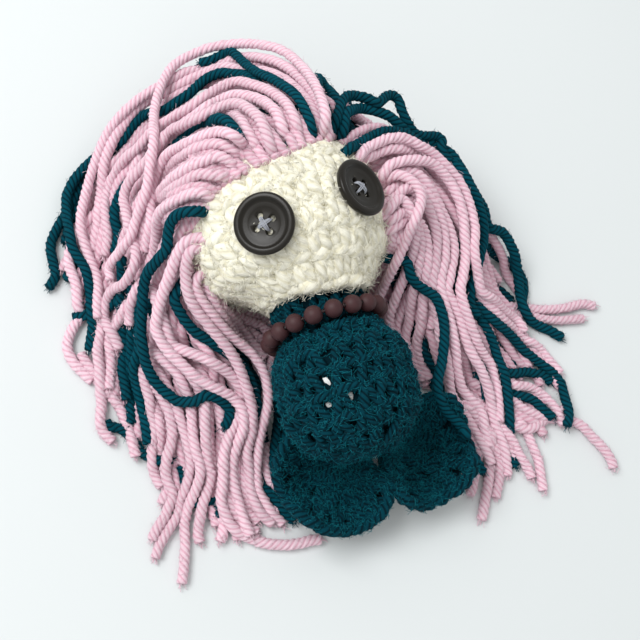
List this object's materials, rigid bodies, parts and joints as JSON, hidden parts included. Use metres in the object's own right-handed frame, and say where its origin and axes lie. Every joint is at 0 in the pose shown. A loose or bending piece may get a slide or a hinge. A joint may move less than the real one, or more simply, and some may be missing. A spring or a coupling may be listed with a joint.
{
  "type": "amigurumi doll",
  "caption": "Stuffed crochet doll lying on its back: round head with button eyes, bead necklace, egg-shaped body with a two-lobed tail, long yarn hair.",
  "frame": {"origin": "on the surface that the doll lies on, at the middle of the flat at the back of its head", "axes": "+Y from the body towards the crown of the head, +Z out of the face, away from the surface, +X towards the doll's left"},
  "size_m": [0.1886, 0.1795, 0.0656],
  "materials": {
    "cream_yarn": "fuzzy single crochet in a bulky cream yarn",
    "teal_yarn": "plied dark teal yarn, matte with soft fibres",
    "pink_yarn": "plied pale pink yarn, matte with soft fibres",
    "fibrefill": "loose white polyester fibre",
    "button_plastic": "semi-gloss moulded dark grey, turned ring marks",
    "thread": "pale sewing thread",
    "bead_glaze": "dusty burgundy, satin",
    "string": "dark beading string"
  },
  "bodies": {
    "doll": {"head_shell": "cream_yarn", "head_stuffing": "fibrefill", "body_shell": "teal_yarn", "neck_band": "teal_yarn", "body_stuffing": "fibrefill", "neck_seam": "cream_yarn", "tail_lobe_right": "teal_yarn", "tail_lobe_left": "teal_yarn", "button_thread_right": "thread", "button_thread_left": "thread", "hair_right_top_01": "pink_yarn", "hair_right_top_02": "teal_yarn", "hair_right_top_03": "pink_yarn", "hair_right_top_04": "pink_yarn", "hair_right_top_05": "pink_yarn", "hair_right_top_06": "teal_yarn", "hair_right_top_07": "pink_yarn", "hair_right_top_08": "pink_yarn", "hair_right_under_01": "pink_yarn", "hair_right_under_02": "teal_yarn", "hair_right_under_03": "pink_yarn", "hair_right_under_04": "pink_yarn", "hair_right_under_05": "pink_yarn", "hair_right_under_06": "teal_yarn", "hair_right_under_07": "pink_yarn", "hair_right_under_08": "pink_yarn", "hair_left_top_01": "pink_yarn", "hair_left_top_02": "teal_yarn", "hair_left_top_03": "pink_yarn", "hair_left_top_04": "pink_yarn", "hair_left_top_05": "pink_yarn", "hair_left_top_06": "teal_yarn", "hair_left_under_01": "pink_yarn", "hair_left_under_02": "pink_yarn", "hair_left_under_03": "pink_yarn", "hair_left_under_04": "teal_yarn", "hair_left_under_05": "pink_yarn", "hair_left_under_06": "pink_yarn"},
    "necklace": {"necklace_string": "string"},
    "button_left": {"button_left": "button_plastic"},
    "button_right": {"button_right": "button_plastic"},
    "bead_01": {"bead_01": "bead_glaze"},
    "bead_02": {"bead_02": "bead_glaze"},
    "bead_03": {"bead_03": "bead_glaze"},
    "bead_04": {"bead_04": "bead_glaze"},
    "bead_05": {"bead_05": "bead_glaze"},
    "bead_06": {"bead_06": "bead_glaze"},
    "bead_07": {"bead_07": "bead_glaze"},
    "bead_08": {"bead_08": "bead_glaze"},
    "bead_09": {"bead_09": "bead_glaze"},
    "bead_10": {"bead_10": "bead_glaze"},
    "bead_11": {"bead_11": "bead_glaze"},
    "bead_12": {"bead_12": "bead_glaze"},
    "bead_13": {"bead_13": "bead_glaze"},
    "bead_14": {"bead_14": "bead_glaze"},
    "bead_15": {"bead_15": "bead_glaze"},
    "bead_16": {"bead_16": "bead_glaze"},
    "bead_17": {"bead_17": "bead_glaze"},
    "bead_18": {"bead_18": "bead_glaze"}
  },
  "joints": [
    {"name": "necklace_turn", "type": "hinge", "parent": "doll", "child": "necklace", "pos_m": [0, -0.035, 0.0305], "axis": [0, 1, 0], "continuous": true},
    {"name": "button_left_turn", "type": "hinge", "parent": "doll", "child": "button_left", "pos_m": [0.01594, -0.003, 0.05703], "axis": [0.5146, -0.0418, 0.8564], "range_deg": [-10, 10]},
    {"name": "button_right_turn", "type": "hinge", "parent": "doll", "child": "button_right", "pos_m": [-0.01482, -0.007, 0.05723], "axis": [-0.4783, -0.1633, 0.8629], "range_deg": [-10, 10]},
    {"name": "bead_01_spin", "type": "hinge", "parent": "necklace", "child": "bead_01", "pos_m": [0.01828, -0.035, 0.02842], "axis": [0.1132, 0, 0.9936], "continuous": true},
    {"name": "bead_02_spin", "type": "hinge", "parent": "necklace", "child": "bead_02", "pos_m": [0.01647, -0.035, 0.02229], "axis": [0.4462, 0, 0.8949], "continuous": true},
    {"name": "bead_03_spin", "type": "hinge", "parent": "necklace", "child": "bead_03", "pos_m": [0.01267, -0.035, 0.01715], "axis": [0.7254, 0, 0.6884], "continuous": true},
    {"name": "bead_04_spin", "type": "hinge", "parent": "necklace", "child": "bead_04", "pos_m": [0.00734, -0.035, 0.01363], "axis": [0.9171, 0, 0.3987], "continuous": true},
    {"name": "bead_05_spin", "type": "hinge", "parent": "necklace", "child": "bead_05", "pos_m": [0.00112, -0.035, 0.01213], "axis": [0.9981, 0, 0.061], "continuous": true},
    {"name": "bead_06_spin", "type": "hinge", "parent": "necklace", "child": "bead_06", "pos_m": [-0.00523, -0.035, 0.01286], "axis": [0.9588, 0, -0.284], "continuous": true},
    {"name": "bead_07_spin", "type": "hinge", "parent": "necklace", "child": "bead_07", "pos_m": [-0.01094, -0.035, 0.01571], "axis": [0.8039, 0, -0.5948], "continuous": true},
    {"name": "bead_08_spin", "type": "hinge", "parent": "necklace", "child": "bead_08", "pos_m": [-0.01534, -0.035, 0.02034], "axis": [0.5519, 0, -0.8339], "continuous": true},
    {"name": "bead_09_spin", "type": "hinge", "parent": "necklace", "child": "bead_09", "pos_m": [-0.01789, -0.035, 0.0262], "axis": [0.2334, 0, -0.9724], "continuous": true},
    {"name": "bead_10_spin", "type": "hinge", "parent": "necklace", "child": "bead_10", "pos_m": [-0.01828, -0.035, 0.03258], "axis": [-0.1132, 0, -0.9936], "continuous": true},
    {"name": "bead_11_spin", "type": "hinge", "parent": "necklace", "child": "bead_11", "pos_m": [-0.01647, -0.035, 0.03871], "axis": [-0.4462, 0, -0.8949], "continuous": true},
    {"name": "bead_12_spin", "type": "hinge", "parent": "necklace", "child": "bead_12", "pos_m": [-0.01267, -0.035, 0.04385], "axis": [-0.7254, 0, -0.6884], "continuous": true},
    {"name": "bead_13_spin", "type": "hinge", "parent": "necklace", "child": "bead_13", "pos_m": [-0.00734, -0.035, 0.04737], "axis": [-0.9171, 0, -0.3987], "continuous": true},
    {"name": "bead_14_spin", "type": "hinge", "parent": "necklace", "child": "bead_14", "pos_m": [-0.00112, -0.035, 0.04887], "axis": [-0.9981, 0, -0.061], "continuous": true},
    {"name": "bead_15_spin", "type": "hinge", "parent": "necklace", "child": "bead_15", "pos_m": [0.00523, -0.035, 0.04814], "axis": [-0.9588, 0, 0.284], "continuous": true},
    {"name": "bead_16_spin", "type": "hinge", "parent": "necklace", "child": "bead_16", "pos_m": [0.01094, -0.035, 0.04529], "axis": [-0.8039, 0, 0.5948], "continuous": true},
    {"name": "bead_17_spin", "type": "hinge", "parent": "necklace", "child": "bead_17", "pos_m": [0.01534, -0.035, 0.04066], "axis": [-0.5519, 0, 0.8339], "continuous": true},
    {"name": "bead_18_spin", "type": "hinge", "parent": "necklace", "child": "bead_18", "pos_m": [0.01789, -0.035, 0.03479], "axis": [-0.2334, 0, 0.9724], "continuous": true}
  ]
}
